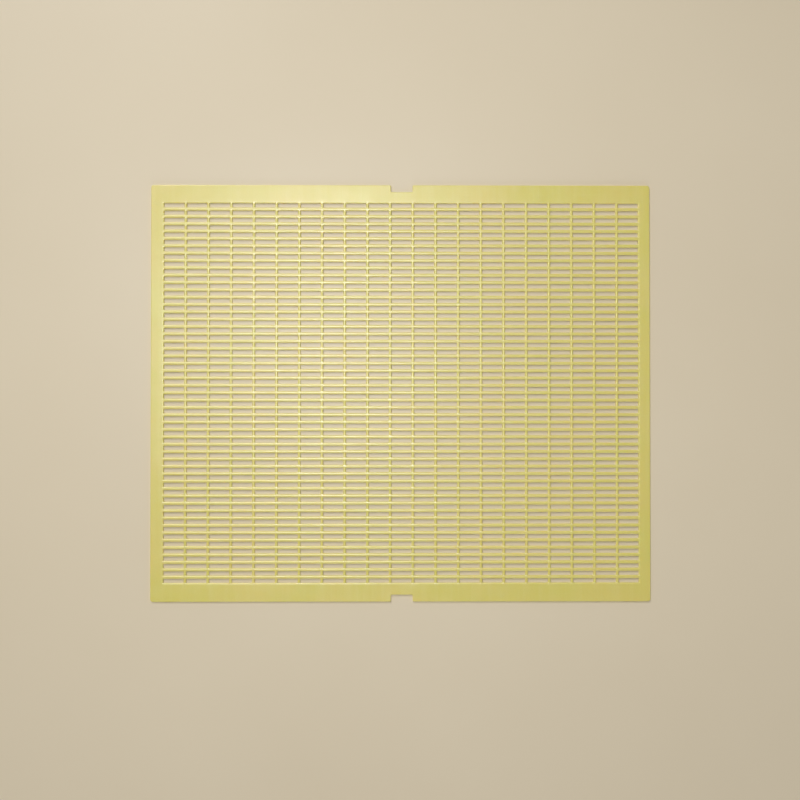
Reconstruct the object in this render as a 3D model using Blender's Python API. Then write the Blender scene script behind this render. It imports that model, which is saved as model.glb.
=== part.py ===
"""A moulded plastic queen excluder: a flat rim, long slats and the cross ribs that carry them.

Metres, +Z up. The sheet lies flat with its underside on z = 0, centred on the origin.
+X runs along the slats, +Y towards the sheet's back edge.
"""

from math import cos, pi, sin

import bmesh
import bpy

MM = 0.001

# Sheet
SHEET_LENGTH = 500.0 * MM
SHEET_WIDTH = 417.0 * MM
SHEET_THICKNESS = 2.0 * MM
CORNER_RADIUS = 2.5 * MM

# Slots: 52 rows of 21
SLOT_ROWS = 52
SLOT_COLUMNS = 21
SLOT_LENGTH = 20.17 * MM
SLOT_WIDTH = 4.3 * MM
WINDOW_CORNER_RADIUS = 0.9 * MM

# Bars between the slots
RIB_WIDTH = 2.6 * MM
SLAT_WIDTH = 3.07 * MM
SLAT_EDGE_RADIUS = 0.35 * MM
NODE_GAP = 0.3 * MM

# The slots sit a little to the right of the sheet's middle and a little behind it
SLOT_FIELD_OFFSET_X = 0.7 * MM
SLOT_FIELD_OFFSET_Y = 0.25 * MM

# One notch in the middle of the front edge and one in the back edge
NOTCH_WIDTH = 21.8 * MM
NOTCH_DEPTH = 6.9 * MM
NOTCH_CORNER_RADIUS = 1.5 * MM
NOTCH_OFFSET_X = 1.0 * MM

# Worked out from the above
RIB_COUNT = SLOT_COLUMNS - 1
SLAT_COUNT = SLOT_ROWS - 1
RIB_PITCH = SLOT_LENGTH + RIB_WIDTH
SLAT_PITCH = SLOT_WIDTH + SLAT_WIDTH
FIELD_LENGTH = SLOT_COLUMNS * SLOT_LENGTH + RIB_COUNT * RIB_WIDTH
FIELD_WIDTH = SLOT_ROWS * SLOT_WIDTH + SLAT_COUNT * SLAT_WIDTH
BAR_HEIGHT = (SHEET_THICKNESS - NODE_GAP) / 2

ARC_STEPS = 4
CUTTER_OVERHANG = 2.0 * MM

RIM_COLOUR = (0.70, 0.61, 0.25, 1.0)
SLAT_COLOUR = (0.72, 0.63, 0.29, 1.0)


def clear_scene():
    for old in list(bpy.data.objects):
        bpy.data.objects.remove(old, do_unlink=True)


def new_collection(name):
    collection = bpy.data.collections.new(name)
    bpy.context.scene.collection.children.link(collection)
    return collection


def plastic(name, colour, roughness):
    """A satin moulded plastic."""
    material = bpy.data.materials.new(name)
    material.use_nodes = True
    shader = material.node_tree.nodes["Principled BSDF"]
    shader.inputs["Base Color"].default_value = colour
    shader.inputs["Roughness"].default_value = roughness
    shader.inputs["Metallic"].default_value = 0.0
    material.diffuse_color = colour
    return material


def rounded_rectangle(centre, size, radius):
    """The points of a rectangle with round corners, anticlockwise."""
    half_x = size[0] / 2 - radius
    half_y = size[1] / 2 - radius
    corners = ((half_x, half_y), (-half_x, half_y), (-half_x, -half_y), (half_x, -half_y))
    points = []
    for quarter, (corner_x, corner_y) in enumerate(corners):
        for step in range(ARC_STEPS + 1):
            angle = (quarter + step / ARC_STEPS) * pi / 2
            x = centre[0] + corner_x + radius * cos(angle)
            y = centre[1] + corner_y + radius * sin(angle)
            points.append((x, y))
    return points


def flat_solid(name, outlines, low_z, high_z, collection):
    """A flat solid from low_z to high_z: the first outline less the others."""
    curve = bpy.data.curves.new(name + "_outline", "CURVE")
    curve.dimensions = "2D"
    curve.fill_mode = "BOTH"
    curve.extrude = (high_z - low_z) / 2
    for outline in outlines:
        spline = curve.splines.new("POLY")
        spline.points.add(len(outline) - 1)
        for point, (x, y) in zip(spline.points, outline):
            point.co = (x, y, 0.0, 1.0)
        spline.use_cyclic_u = True
    drawn = bpy.data.objects.new(name + "_outline", curve)
    drawn.location.z = (low_z + high_z) / 2
    collection.objects.link(drawn)

    depsgraph = bpy.context.evaluated_depsgraph_get()
    mesh = bpy.data.meshes.new_from_object(drawn.evaluated_get(depsgraph))
    weld = bmesh.new()
    weld.from_mesh(mesh)
    bmesh.ops.remove_doubles(weld, verts=weld.verts, dist=0.01 * MM)
    weld.to_mesh(mesh)
    weld.free()

    solid = bpy.data.objects.new(name, mesh)
    solid.matrix_world = drawn.matrix_world
    collection.objects.link(solid)
    bpy.data.objects.remove(drawn, do_unlink=True)
    return solid


def as_cutter(solid):
    solid.hide_render = True
    solid.display_type = "WIRE"
    return solid


def cut(piece, cutter):
    modifier = piece.modifiers.new("cut_" + cutter.name, "BOOLEAN")
    modifier.operation = "DIFFERENCE"
    modifier.solver = "EXACT"
    modifier.object = cutter


def column_x(column):
    """The middle of a column of slots, the first at the left."""
    return SLOT_FIELD_OFFSET_X + (column - (SLOT_COLUMNS - 1) / 2) * RIB_PITCH


def slat_y(slat):
    """The middle of a slat, the first nearest the back edge."""
    return SLOT_FIELD_OFFSET_Y + ((SLAT_COUNT - 1) / 2 - slat) * SLAT_PITCH


def notch_cutters(collection):
    """A rounded block across the middle of each long edge."""
    cutters = []
    for name, side in (("back_notch_cutter", 1), ("front_notch_cutter", -1)):
        centre = (NOTCH_OFFSET_X, side * SHEET_WIDTH / 2)
        outline = rounded_rectangle(centre, (NOTCH_WIDTH, 2 * NOTCH_DEPTH), NOTCH_CORNER_RADIUS)
        low_z = -CUTTER_OVERHANG
        high_z = SHEET_THICKNESS + CUTTER_OVERHANG
        cutters.append(as_cutter(flat_solid(name, [outline], low_z, high_z, collection)))
    return cutters


def slat_recess_cutter(collection):
    """The block that lowers the cross ribs to make room for the slats."""
    centre = (SLOT_FIELD_OFFSET_X, SLOT_FIELD_OFFSET_Y)
    outline = rounded_rectangle(centre, (FIELD_LENGTH, FIELD_WIDTH), WINDOW_CORNER_RADIUS)
    high_z = SHEET_THICKNESS + CUTTER_OVERHANG
    return as_cutter(flat_solid("slat_recess_cutter", [outline], BAR_HEIGHT, high_z, collection))


def make_rim_and_ribs(collection, cutters):
    """The flat rim with a window for each column of slots, and the cross ribs between them."""
    sheet = rounded_rectangle((0.0, 0.0), (SHEET_LENGTH, SHEET_WIDTH), CORNER_RADIUS)
    windows = []
    for column in range(SLOT_COLUMNS):
        centre = (column_x(column), SLOT_FIELD_OFFSET_Y)
        windows.append(rounded_rectangle(centre, (SLOT_LENGTH, FIELD_WIDTH), WINDOW_CORNER_RADIUS))
    rim = flat_solid("rim_and_ribs", [sheet] + windows, 0.0, SHEET_THICKNESS, collection)
    cut(rim, slat_recess_cutter(cutters))
    for notch in notch_cutters(cutters):
        cut(rim, notch)
    rim.data.materials.append(plastic("rim_plastic", RIM_COLOUR, 0.42))
    return rim


def slat_mesh():
    """A bar with its two long top edges rounded, its underside on z = 0."""
    bar = bmesh.new()
    bmesh.ops.create_cube(bar, size=1.0)
    length = FIELD_LENGTH - 2 * NODE_GAP
    bmesh.ops.scale(bar, vec=(length, SLAT_WIDTH, BAR_HEIGHT), verts=bar.verts)
    bmesh.ops.translate(bar, vec=(0.0, 0.0, BAR_HEIGHT / 2), verts=bar.verts)
    long_top_edges = []
    for edge in bar.edges:
        first, second = edge.verts
        on_top = min(first.co.z, second.co.z) > BAR_HEIGHT / 2
        along_x = abs(first.co.x - second.co.x) > length / 2
        if on_top and along_x:
            long_top_edges.append(edge)
    bmesh.ops.bevel(
        bar,
        geom=long_top_edges,
        offset=SLAT_EDGE_RADIUS,
        offset_type="OFFSET",
        segments=2,
        profile=0.5,
        affect="EDGES",
    )
    mesh = bpy.data.meshes.new("slat")
    bar.to_mesh(mesh)
    bar.free()
    mesh.materials.append(plastic("slat_plastic", SLAT_COLOUR, 0.42))
    return mesh


def make_slats(collection):
    """The slats, flush with the rim's top face and clear of the ribs under them."""
    mesh = slat_mesh()
    for slat in range(SLAT_COUNT):
        bar = bpy.data.objects.new(f"slat_{slat + 1:02d}", mesh)
        bar.location = (SLOT_FIELD_OFFSET_X, slat_y(slat), SHEET_THICKNESS - BAR_HEIGHT)
        collection.objects.link(bar)


def main():
    clear_scene()
    parts = new_collection("queen_excluder")
    cutters = new_collection("cutters")
    make_rim_and_ribs(parts, cutters)
    make_slats(parts)


main()
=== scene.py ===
"""The looks of a moulded plastic queen excluder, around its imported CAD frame.

The real object is one moulding, so one continuous sheet stands for all the CAD nodes.
"""

from math import cos, pi, radians, sin, sqrt

import bpy
import numpy as np
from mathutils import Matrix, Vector
from mathutils.geometry import delaunay_2d_cdt


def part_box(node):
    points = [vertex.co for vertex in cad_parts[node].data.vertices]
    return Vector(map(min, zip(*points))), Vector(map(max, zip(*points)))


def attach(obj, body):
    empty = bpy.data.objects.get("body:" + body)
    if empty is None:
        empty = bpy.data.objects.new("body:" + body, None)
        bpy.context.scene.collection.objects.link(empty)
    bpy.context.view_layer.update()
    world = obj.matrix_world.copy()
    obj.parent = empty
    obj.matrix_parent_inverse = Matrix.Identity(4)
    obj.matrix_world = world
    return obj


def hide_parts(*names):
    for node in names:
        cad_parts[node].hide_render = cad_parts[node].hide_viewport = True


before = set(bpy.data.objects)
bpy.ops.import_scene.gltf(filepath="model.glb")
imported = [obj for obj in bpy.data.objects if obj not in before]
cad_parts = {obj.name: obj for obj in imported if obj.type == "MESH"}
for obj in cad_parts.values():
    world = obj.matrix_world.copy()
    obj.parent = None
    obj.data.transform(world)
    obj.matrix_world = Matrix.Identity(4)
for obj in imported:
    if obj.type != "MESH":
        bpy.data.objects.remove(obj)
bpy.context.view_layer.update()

MM = 0.001
CLOSE = 0.001 * MM
SAME_POINT = 1e-6 * MM

# ---------------------------------------------------------------- sizes, from the frame

SHEET_LOW, SHEET_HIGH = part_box("rim_and_ribs")
SHEET_TOP = SHEET_HIGH.z
FIRST_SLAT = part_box("slat_01")
SECOND_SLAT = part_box("slat_02")
LAST_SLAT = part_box("slat_51")

SLOT_ROWS = 52
SLOT_COLUMNS = 21
NODE_GAP = 0.3 * MM
RIB_WIDTH = 2.6 * MM
SLAT_WIDTH = FIRST_SLAT[1].y - FIRST_SLAT[0].y
SLAT_PITCH = FIRST_SLAT[0].y - SECOND_SLAT[0].y
SLOT_WIDTH = SLAT_PITCH - SLAT_WIDTH
FIELD_LENGTH = FIRST_SLAT[1].x - FIRST_SLAT[0].x + 2 * NODE_GAP
RIB_PITCH = (FIELD_LENGTH + RIB_WIDTH) / SLOT_COLUMNS
SLOT_LENGTH = RIB_PITCH - RIB_WIDTH
FIELD_MIDDLE = (
    (FIRST_SLAT[0].x + FIRST_SLAT[1].x) / 2,
    (FIRST_SLAT[1].y + LAST_SLAT[0].y) / 2,
)

# ---------------------------------------------------------------- moulded detail

# A bar's round edge reaches in from its slot and drops down the slot's wall; the middle is a point
# between the two
SLOT_CORNER_RADIUS = 0.8 * MM
BAR_EDGE_REACH = 0.9 * MM
BAR_EDGE_MIDDLE = 0.3 * MM
BAR_EDGE_DROP = 0.7 * MM
RIB_RECESS = 0.15 * MM
SLOT_DRAFT = 0.06 * MM
CROSSING_SHOULDER = 1.2 * MM
SLOT_ARC_STEPS = 3
SHARP_ANGLE = radians(60)

OUTER_CORNER_RADIUS = 2.5 * MM
NOTCH_WIDTH = 21.8 * MM
NOTCH_DEPTH = 6.9 * MM
NOTCH_OFFSET_X = 1.0 * MM
NOTCH_FLOOR_RADIUS = 1.5 * MM
NOTCH_MOUTH_RADIUS = 1.0 * MM
RIM_EDGE_RADIUS = 0.4 * MM
RIM_ARC_STEPS = 6

# The rim's flat faces are meshed inside a narrow band along its round edge, and no closer to an outline
# than a part of the spacing
RIM_SUPPORT = 0.8 * MM
RIM_POINT_SPACING = 6.0 * MM
LEAST_ROOM = 0.35

# ---------------------------------------------------------------- the view and the light

CAMERA_DISTANCE = 1.1125
CAMERA_FRONT = radians(0.72)
CAMERA_LEFT = radians(0.5)
CAMERA_AIM = (-0.0008, -0.00705)

FLOOR_SIZE = 60.0
FLOOR_GAP = 0.2 * MM

OVERHEAD_PLACE = (-0.13, 0.15, 1.18)
OVERHEAD_SIZE = 0.45
OVERHEAD_POWER = 4.6
BACK_PLACE = (-1.50, 3.21, 3.53)
BACK_SIZE = 2.15
BACK_POWER = 102.0
FRONT_PLACE = (0.0, -4.70, 1.71)
FRONT_SIZE = 2.50
FRONT_POWER = 50.0

# The surroundings fade from the walls' colour at the horizon to the ceiling's at this height, where
# straight up is 1
CEILING_STARTS = 0.6

# ---------------------------------------------------------------- colours

PLASTIC_GREENER = (0.780, 0.703, 0.160)
PLASTIC_WARMER = (0.815, 0.695, 0.180)
PLASTIC_PALE = (0.86, 0.78, 0.30)
PLASTIC_DEEP = (0.70, 0.60, 0.105)
FLOOR_WARM = (0.770, 0.665, 0.490)
FLOOR_PALE = (0.800, 0.697, 0.520)
WALLS = (0.68, 0.65, 0.58)
CEILING = (0.13, 0.13, 0.13)

# ---------------------------------------------------------------- surfaces

PLASTIC_IOR = 1.7
PLASTIC_GLOSS = 1.0
PLASTIC_TRANSLUCENCY = 0.35
TRANSLUCENT_COLOURS = (1.0, 0.8, 0.3)
TRANSLUCENT_DEPTH = 1.5 * MM
SINK_HEIGHT = 0.25 * MM
GRAIN_HEIGHT = 0.012 * MM
FLOOR_TOOTH = 0.01 * MM


# ---------------------------------------------------------------- the slotted field


def four_corners(points):
    """A corner's points, from +X towards +Y, mirrored into all four, anticlockwise."""
    ring = []
    for sign_x, sign_y in ((1, 1), (-1, 1), (-1, -1), (1, -1)):
        corner = points if sign_x == sign_y else points[::-1]
        ring += [(sign_x * x, sign_y * y) for x, y in corner]
    return np.array(ring)


def slot_ring(outward):
    """The slot's outline, moved outwards by some distance."""
    radius = SLOT_CORNER_RADIUS + outward
    centre_x = SLOT_LENGTH / 2 - SLOT_CORNER_RADIUS
    centre_y = SLOT_WIDTH / 2 - SLOT_CORNER_RADIUS
    corner = []
    for step in range(SLOT_ARC_STEPS + 1):
        angle = pi / 2 * step / SLOT_ARC_STEPS
        corner.append((centre_x + radius * cos(angle), centre_y + radius * sin(angle)))
    return four_corners(corner)


def cell_ring():
    """The outline that a slot's cell shares with its neighbours, point for point with the slot's."""
    half_x = RIB_PITCH / 2
    half_y = SLAT_PITCH / 2
    corner = [
        (half_x, SLOT_WIDTH / 2 - SLOT_CORNER_RADIUS),
        (half_x, half_y - CROSSING_SHOULDER),
        (half_x, half_y),
        (SLOT_LENGTH / 2 - SLOT_CORNER_RADIUS, half_y),
    ]
    return four_corners(corner)


def crown_drop(from_middle, half_width):
    """How far a bar's top lies below its crown, this far from its middle: past its edge, all the way."""
    into_edge = np.clip((from_middle - half_width) / BAR_EDGE_REACH + 1, 0, 1)
    drop = BAR_EDGE_DROP * (1 - np.sqrt(1 - into_edge**2))
    return np.where(from_middle > half_width + CLOSE, SHEET_TOP, drop)


def top_ring(ring, recess):
    """A ring on the top face, as high as the slat or the rib there, with the ribs a little lower."""
    slat = crown_drop(SLAT_PITCH / 2 - np.abs(ring[:, 1]), SLAT_WIDTH / 2)
    rib = crown_drop(RIB_PITCH / 2 - np.abs(ring[:, 0]), RIB_WIDTH / 2)
    return np.column_stack([ring, SHEET_TOP - np.minimum(slat, rib + recess)])


def slot_cell(recess_left, recess_right):
    """One slot's cell as rings from its top edge down through the slot to its bottom edge."""
    cell = cell_ring()
    recess = np.where(cell[:, 0] < 0, recess_left, recess_right)
    flat = np.zeros(len(cell))
    rings = [top_ring(cell, recess)]
    for outward in (BAR_EDGE_REACH, BAR_EDGE_MIDDLE, 0.0):
        rings.append(top_ring(slot_ring(outward), recess))
    rings.append(np.column_stack([slot_ring(-SLOT_DRAFT), flat]))
    rings.append(np.column_stack([cell, flat]))
    return np.array(rings)


def ring_faces(ring_count, ring_length):
    """Quads between neighbouring rings, facing out where the rings run anticlockwise and inwards."""
    faces = []
    for ring in range(ring_count - 1):
        for point in range(ring_length):
            after = (point + 1) % ring_length
            low = ring * ring_length
            high = low + ring_length
            faces.append((low + point, low + after, high + after, high + point))
    return np.array(faces)


def middles(count, pitch):
    """The middles of a row of equal cells, centred on zero."""
    return [(index - (count - 1) / 2) * pitch for index in range(count)]


def slotted_field():
    """Every slot's cell, as points and quads."""
    cells = []
    for column, x in enumerate(middles(SLOT_COLUMNS, RIB_PITCH)):
        left = 0.0 if column == 0 else RIB_RECESS
        right = 0.0 if column == SLOT_COLUMNS - 1 else RIB_RECESS
        cell = slot_cell(left, right)
        for y in middles(SLOT_ROWS, SLAT_PITCH):
            cells.append(cell + (FIELD_MIDDLE[0] + x, FIELD_MIDDLE[1] + y, 0.0))
    rings, length = cells[0].shape[:2]
    quads = ring_faces(rings, length)
    points = np.array(cells).reshape(-1, 3)
    starts = np.arange(len(cells)) * rings * length
    return points, (quads[None] + starts[:, None, None]).reshape(-1, 4)


# ---------------------------------------------------------------- the rim


def rounded_path(corners):
    """A closed outline through corners (x, y, radius), anticlockwise, with points along its sides."""
    path = []
    count = len(corners)
    for index, (x, y, radius) in enumerate(corners):
        here = Vector((x, y))
        before = (Vector(corners[index - 1][:2]) - here).normalized()
        after = (Vector(corners[(index + 1) % count][:2]) - here).normalized()
        centre = here + (before + after) * radius
        for step in range(RIM_ARC_STEPS + 1):
            angle = pi / 2 * step / RIM_ARC_STEPS
            path.append(centre - after * radius * cos(angle) - before * radius * sin(angle))
    spaced = []
    for index, point in enumerate(path):
        following = path[(index + 1) % len(path)]
        steps = max(1, round((following - point).length / RIM_POINT_SPACING))
        spaced += [point.lerp(following, step / steps) for step in range(steps)]
    return np.array([tuple(p) for p in spaced])


def sheet_outline():
    """The sheet's outline with its two notches, anticlockwise from the front left corner."""
    left, right = SHEET_LOW.x, SHEET_HIGH.x
    front, back = SHEET_LOW.y, SHEET_HIGH.y
    notch_left = NOTCH_OFFSET_X - NOTCH_WIDTH / 2
    notch_right = NOTCH_OFFSET_X + NOTCH_WIDTH / 2
    corners = [
        (left, front, OUTER_CORNER_RADIUS),
        (notch_left, front, NOTCH_MOUTH_RADIUS),
        (notch_left, front + NOTCH_DEPTH, NOTCH_FLOOR_RADIUS),
        (notch_right, front + NOTCH_DEPTH, NOTCH_FLOOR_RADIUS),
        (notch_right, front, NOTCH_MOUTH_RADIUS),
        (right, front, OUTER_CORNER_RADIUS),
        (right, back, OUTER_CORNER_RADIUS),
        (notch_right, back, NOTCH_MOUTH_RADIUS),
        (notch_right, back - NOTCH_DEPTH, NOTCH_FLOOR_RADIUS),
        (notch_left, back - NOTCH_DEPTH, NOTCH_FLOOR_RADIUS),
        (notch_left, back, NOTCH_MOUTH_RADIUS),
        (left, back, OUTER_CORNER_RADIUS),
    ]
    return rounded_path(corners)


def inset(outline, distance):
    """An anticlockwise outline moved inwards."""
    along = np.roll(outline, -1, axis=0) - outline
    along /= np.linalg.norm(along, axis=1)[:, None]
    side = np.column_stack([-along[:, 1], along[:, 0]])
    both = side + np.roll(side, 1, axis=0)
    return outline + both * (2 * distance / (both**2).sum(axis=1))[:, None]


def field_outline():
    """The field's own edge, through the points that its outer cells put there."""
    cell = cell_ring()
    xs = sorted({round(float(x), 9) for x in cell[:, 0]})
    ys = sorted({round(float(y), 9) for y in cell[:, 1]})
    half_x = SLOT_COLUMNS * RIB_PITCH / 2
    half_y = SLOT_ROWS * SLAT_PITCH / 2
    along_x = [middle + x for middle in middles(SLOT_COLUMNS, RIB_PITCH) for x in xs[:-1]]
    along_y = [middle + y for middle in middles(SLOT_ROWS, SLAT_PITCH) for y in ys[:-1]]
    front = [(x, -half_y) for x in along_x]
    right = [(half_x, y) for y in along_y]
    back = [(-x, half_y) for x in along_x]
    left = [(-half_x, -y) for y in along_y]
    return np.array(front + right + back + left) + FIELD_MIDDLE


def inside(points, outline):
    """Which points lie inside an outline, by counting crossings."""
    x, y = points[:, 0][:, None], points[:, 1][:, None]
    x0, y0 = outline[:, 0][None], outline[:, 1][None]
    x1, y1 = np.roll(outline[:, 0], -1)[None], np.roll(outline[:, 1], -1)[None]
    spans = (y0 > y) != (y1 > y)
    rise = np.where(y1 == y0, 1.0, y1 - y0)
    return (spans & (x < x0 + (y - y0) / rise * (x1 - x0))).sum(axis=1) % 2 == 1


def spread_points(outer, inner):
    """A grid of points between two outlines, none of them too near to either."""
    low, high = outer.min(axis=0), outer.max(axis=0)
    spacing = RIM_POINT_SPACING
    grid = np.mgrid[low[0] : high[0] : spacing, low[1] : high[1] : spacing].reshape(2, -1).T
    room = LEAST_ROOM * spacing
    grown = inner + np.sign(inner - inner.mean(axis=0)) * room
    return grid[inside(grid, inset(outer, room)) & ~inside(grid, grown)]


def fill_between(outer, inner):
    """Points and triangles of the flat face between two outlines, facing up."""
    points = np.concatenate([outer, inner, spread_points(outer, inner)])
    edges = []
    start = 0
    for outline in (outer, inner):
        count = len(outline)
        edges += [(start + i, start + (i + 1) % count) for i in range(count)]
        start += count
    found = delaunay_2d_cdt([Vector(p) for p in points.tolist()], edges, [], 0, SAME_POINT)
    made = np.array([tuple(p) for p in found[0]])
    triangles = np.array(found[2])
    centres = made[triangles].mean(axis=1)
    triangles = triangles[inside(centres, outer) & ~inside(centres, inner)]
    a, b, c = (made[triangles[:, i]] for i in range(3))
    turn = (b[:, 0] - a[:, 0]) * (c[:, 1] - a[:, 1]) - (b[:, 1] - a[:, 1]) * (c[:, 0] - a[:, 0])
    triangles[turn < 0] = triangles[turn < 0][:, ::-1]
    return made, triangles


def rim_parts():
    """The rim's top and bottom faces and its rounded outer edge, as points and faces."""
    outline = sheet_outline()
    radius = RIM_EDGE_RADIUS
    middle = radius * (1 - sqrt(0.5))
    profile = [
        (RIM_SUPPORT, SHEET_TOP),
        (radius, SHEET_TOP),
        (middle, SHEET_TOP - middle),
        (0.0, SHEET_TOP - radius),
        (0.0, radius / 2),
        (radius / 2, 0.0),
        (RIM_SUPPORT, 0.0),
    ]
    rings = []
    for distance, height in profile:
        ring = inset(outline, distance)
        rings.append(np.column_stack([ring, np.full(len(ring), height)]))
    points = np.concatenate(rings)
    quads = ring_faces(len(rings), len(outline))[:, ::-1]
    parts = [(points, quads)]
    flat, triangles = fill_between(inset(outline, RIM_SUPPORT), field_outline())
    for height, faces in ((SHEET_TOP, triangles), (0.0, triangles[:, ::-1])):
        parts.append((np.column_stack([flat, np.full(len(flat), height)]), faces))
    return parts


# ---------------------------------------------------------------- the sheet


def joined_mesh(name, parts):
    """One mesh of all the parts, with the points that they share made one."""
    points = []
    faces = []
    start = 0
    for part_points, part_faces in parts:
        points.append(part_points)
        faces += (part_faces + start).tolist()
        start += len(part_points)
    points = np.concatenate(points)
    grid = np.round(points / CLOSE).astype(np.int64)
    _, first, places = np.unique(grid, axis=0, return_index=True, return_inverse=True)
    places = places.reshape(-1)
    faces = [[int(places[i]) for i in face] for face in faces]
    mesh = bpy.data.meshes.new(name)
    mesh.from_pydata(points[first].tolist(), [], faces)
    mesh.validate()
    mesh.update()
    return mesh


def make_sheet(material):
    """The whole sheet as one piece, in place of every CAD node."""
    mesh = joined_mesh("moulded_sheet", [slotted_field()] + rim_parts())
    mesh.materials.append(material)
    mesh.shade_smooth()
    mesh.set_sharp_from_angle(angle=SHARP_ANGLE)
    sheet = bpy.data.objects.new("moulded_sheet", mesh)
    bpy.context.scene.collection.objects.link(sheet)
    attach(sheet, "root")
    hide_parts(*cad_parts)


# ---------------------------------------------------------------- materials


def new_material(name):
    """A material with its shader, and its node tree to add to."""
    material = bpy.data.materials.new(name)
    material.use_nodes = True
    return material, material.node_tree.nodes["Principled BSDF"], material.node_tree


def noise(tree, size, detail=2.0, stretch=(1.0, 1.0, 1.0)):
    """Noise with features of about this size, drawn out by stretch, in the object's coordinates."""
    place = tree.nodes.new("ShaderNodeTexCoord")
    drawn_out = tree.nodes.new("ShaderNodeMapping")
    drawn_out.inputs["Scale"].default_value = [1 / factor for factor in stretch]
    texture = tree.nodes.new("ShaderNodeTexNoise")
    texture.inputs["Scale"].default_value = 1 / size
    texture.inputs["Detail"].default_value = detail
    tree.links.new(place.outputs["Object"], drawn_out.inputs["Vector"])
    tree.links.new(drawn_out.outputs["Vector"], texture.inputs["Vector"])
    return texture.outputs["Fac"]


def ranged(tree, value, from_range, to_range):
    """A value brought from one range to another, and kept inside it."""
    change = tree.nodes.new("ShaderNodeMapRange")
    change.inputs["From Min"].default_value, change.inputs["From Max"].default_value = from_range
    change.inputs["To Min"].default_value, change.inputs["To Max"].default_value = to_range
    tree.links.new(value, change.inputs["Value"])
    return change.outputs["Result"]


def summed(tree, first, second):
    add = tree.nodes.new("ShaderNodeMath")
    add.operation = "ADD"
    tree.links.new(first, add.inputs[0])
    tree.links.new(second, add.inputs[1])
    return add.outputs["Value"]


def mixed(tree, factor, first, second):
    """Two colours mixed by a factor; either may be a plain colour or another node's output."""
    mix = tree.nodes.new("ShaderNodeMix")
    mix.data_type = "RGBA"
    tree.links.new(factor, mix.inputs["Factor"])
    for colour, name in ((first, "A_Color"), (second, "B_Color")):
        socket = next(socket for socket in mix.inputs if socket.identifier == name)
        if isinstance(colour, tuple):
            socket.default_value = (*colour, 1)
        else:
            tree.links.new(colour, socket)
    return next(socket for socket in mix.outputs if socket.identifier == "Result_Color")


def bumped(tree, heights, shader):
    """Bumps of given heights, one on top of another, as the shader's normal."""
    below = None
    for value, height in heights:
        bump = tree.nodes.new("ShaderNodeBump")
        bump.inputs["Distance"].default_value = height
        tree.links.new(value, bump.inputs["Height"])
        if below is not None:
            tree.links.new(below, bump.inputs["Normal"])
        below = bump.outputs["Normal"]
    tree.links.new(below, shader.inputs["Normal"])


def yellow_plastic():
    """Moulded yellow plastic, its pigment drifting a little, with a fine matt grain and faint scuffs."""
    material, shader, tree = new_material("moulded_yellow_plastic")
    drift = ranged(tree, noise(tree, 60 * MM, 3.0), (0.35, 0.65), (0.0, 1.0))
    streak = noise(tree, 9 * MM, 3.0, stretch=(0.5, 9.0, 1.0))
    fleck = noise(tree, 1.1 * MM, 2.0)
    scuff_along = noise(tree, 2.2 * MM, 1.0, stretch=(16.0, 0.35, 1.0))
    scuff_across = noise(tree, 2.6 * MM, 1.0, stretch=(0.4, 14.0, 1.0))
    scuffs = summed(
        tree,
        ranged(tree, scuff_along, (0.66, 0.80), (0.0, 0.7)),
        ranged(tree, scuff_across, (0.66, 0.80), (0.0, 0.7)),
    )
    pigment = mixed(tree, drift, PLASTIC_GREENER, PLASTIC_WARMER)
    streaked = mixed(tree, ranged(tree, streak, (0.40, 0.75), (0.0, 0.22)), pigment, PLASTIC_PALE)
    flecked = mixed(tree, ranged(tree, fleck, (0.35, 0.65), (0.0, 0.16)), streaked, PLASTIC_DEEP)
    scuffed = mixed(tree, ranged(tree, scuffs, (0.0, 1.0), (0.0, 0.3)), flecked, PLASTIC_PALE)
    tree.links.new(scuffed, shader.inputs["Base Color"])
    matt = ranged(tree, noise(tree, 14 * MM, 4.0), (0.3, 0.7), (0.30, 0.38))
    rubbed = summed(tree, matt, ranged(tree, scuffs, (0.0, 1.0), (0.0, 0.12)))
    tree.links.new(rubbed, shader.inputs["Roughness"])
    grain = noise(tree, 0.45 * MM, 2.0)
    sink = noise(tree, 26 * MM, 1.0)
    bumped(tree, [(sink, SINK_HEIGHT), (grain, GRAIN_HEIGHT)], shader)
    shader.inputs["IOR"].default_value = PLASTIC_IOR
    shader.inputs["Specular IOR Level"].default_value = PLASTIC_GLOSS
    shader.inputs["Subsurface Weight"].default_value = PLASTIC_TRANSLUCENCY
    shader.inputs["Subsurface Radius"].default_value = TRANSLUCENT_COLOURS
    shader.inputs["Subsurface Scale"].default_value = TRANSLUCENT_DEPTH
    return material


def floor_paint():
    """A pale, warm, satin board with a slight tooth."""
    material, shader, tree = new_material("floor_paint")
    cloud = ranged(tree, noise(tree, 350 * MM, 4.0), (0.3, 0.7), (0.0, 1.0))
    tree.links.new(mixed(tree, cloud, FLOOR_WARM, FLOOR_PALE), shader.inputs["Base Color"])
    satin = ranged(tree, noise(tree, 5 * MM, 3.0), (0.3, 0.7), (0.34, 0.40))
    tree.links.new(satin, shader.inputs["Roughness"])
    bumped(tree, [(noise(tree, 0.8 * MM, 2.0), FLOOR_TOOTH)], shader)
    return material


# ---------------------------------------------------------------- stage


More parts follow.
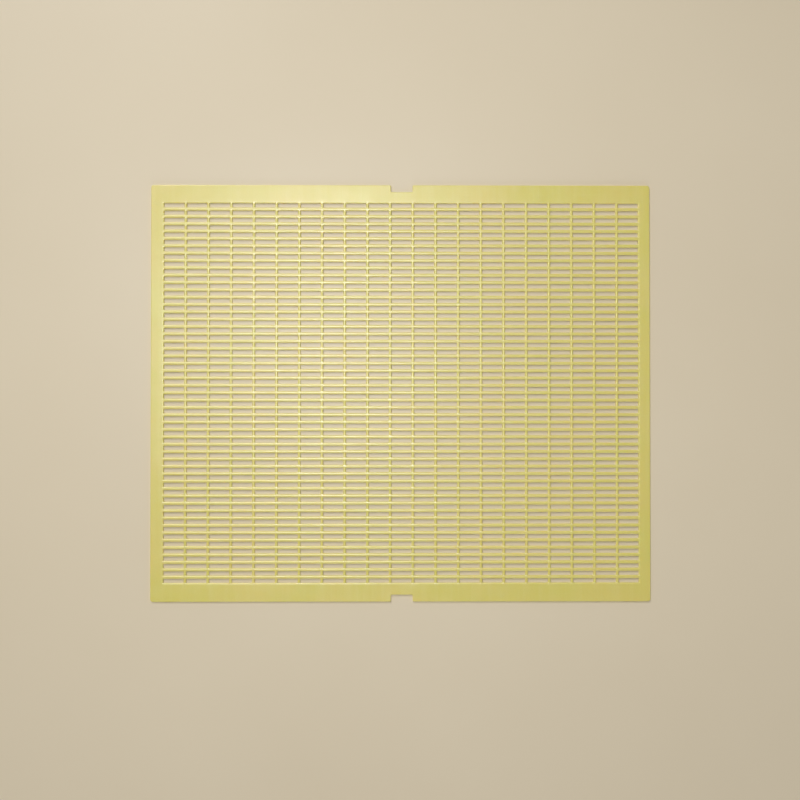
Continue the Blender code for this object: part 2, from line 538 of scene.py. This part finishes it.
def make_floor():
    bpy.ops.mesh.primitive_plane_add(size=FLOOR_SIZE, location=(0, 0, -FLOOR_GAP))
    plane = bpy.context.object
    plane.name = "floor"
    plane.data.materials.append(floor_paint())


def softbox(name, place, size, power):
    """A round softbox that shines at the middle of the sheet."""
    data = bpy.data.lights.new(name, "AREA")
    data.shape = "DISK"
    data.size = size
    data.energy = power
    light = bpy.data.objects.new(name, data)
    light.location = place
    light.rotation_euler = (-Vector(place)).to_track_quat("-Z", "Y").to_euler()
    bpy.context.scene.collection.objects.link(light)


def surroundings():
    """Pale walls near the floor, and a dimmer ceiling."""
    world = bpy.data.worlds.new("studio")
    world.use_nodes = True
    tree = world.node_tree
    place = tree.nodes.new("ShaderNodeTexCoord")
    parts = tree.nodes.new("ShaderNodeSeparateXYZ")
    tree.links.new(place.outputs["Generated"], parts.inputs["Vector"])
    up = ranged(tree, parts.outputs["Z"], (0.0, CEILING_STARTS), (0.0, 1.0))
    tree.links.new(mixed(tree, up, WALLS, CEILING), tree.nodes["Background"].inputs["Color"])
    bpy.context.scene.world = world


def make_lights():
    softbox("overhead", OVERHEAD_PLACE, OVERHEAD_SIZE, OVERHEAD_POWER)
    softbox("back", BACK_PLACE, BACK_SIZE, BACK_POWER)
    softbox("front", FRONT_PLACE, FRONT_SIZE, FRONT_POWER)
    surroundings()


def make_camera():
    """Almost straight above the sheet, a little towards its front and its left."""
    data = bpy.data.cameras.new("camera")
    data.lens = 50
    data.sensor_width = 36
    eye = bpy.data.objects.new("camera", data)
    aim = Vector((*CAMERA_AIM, SHEET_TOP))
    eye.rotation_euler = (CAMERA_FRONT, -CAMERA_LEFT, 0)
    away = eye.rotation_euler.to_matrix() @ Vector((0, 0, 1))
    eye.location = aim + away * CAMERA_DISTANCE
    bpy.context.scene.collection.objects.link(eye)
    bpy.context.scene.camera = eye


# ---------------------------------------------------------------- the scene


make_sheet(yellow_plastic())
make_floor()
make_lights()
make_camera()
bpy.context.scene.view_settings.view_transform = "Standard"
